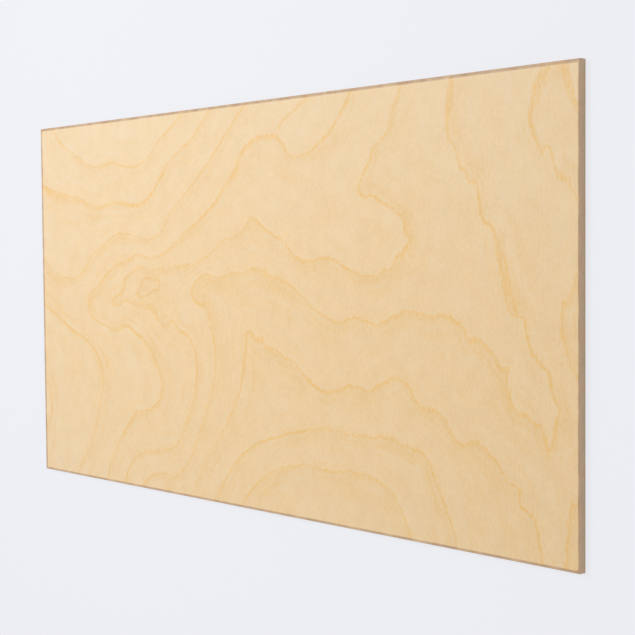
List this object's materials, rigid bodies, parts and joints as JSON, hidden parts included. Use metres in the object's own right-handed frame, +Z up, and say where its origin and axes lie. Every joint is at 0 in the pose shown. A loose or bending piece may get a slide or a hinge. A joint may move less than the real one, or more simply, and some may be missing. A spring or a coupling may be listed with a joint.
{
  "type": "plywood sheet",
  "caption": "Flat rectangular plywood sheet of cross-bonded birch veneers, bevelled on every arris, for decking, lining, joinery and formwork.",
  "frame": {"origin": "middle of the underside of the sheet as it lies flat", "axes": "+X along the 2440 mm length, +Y along the 1220 mm width and the face grain, +Z up out of the face"},
  "size_m": [2.44, 1.22, 0.024],
  "materials": {
    "birch_face": "satin",
    "birch_back": "satin",
    "cross_ply": "matte",
    "parallel_ply": "matte"
  },
  "bodies": {
    "root": {"face_veneer": "birch_face", "cross_ply_1": "cross_ply", "cross_ply_2": "cross_ply", "cross_ply_3": "cross_ply", "cross_ply_4": "cross_ply", "cross_ply_5": "cross_ply", "cross_ply_6": "cross_ply", "cross_ply_7": "cross_ply", "parallel_ply_1": "parallel_ply", "parallel_ply_2": "parallel_ply", "parallel_ply_3": "parallel_ply", "parallel_ply_4": "parallel_ply", "parallel_ply_5": "parallel_ply", "parallel_ply_6": "parallel_ply", "back_veneer": "birch_back"}
  },
  "joints": []
}
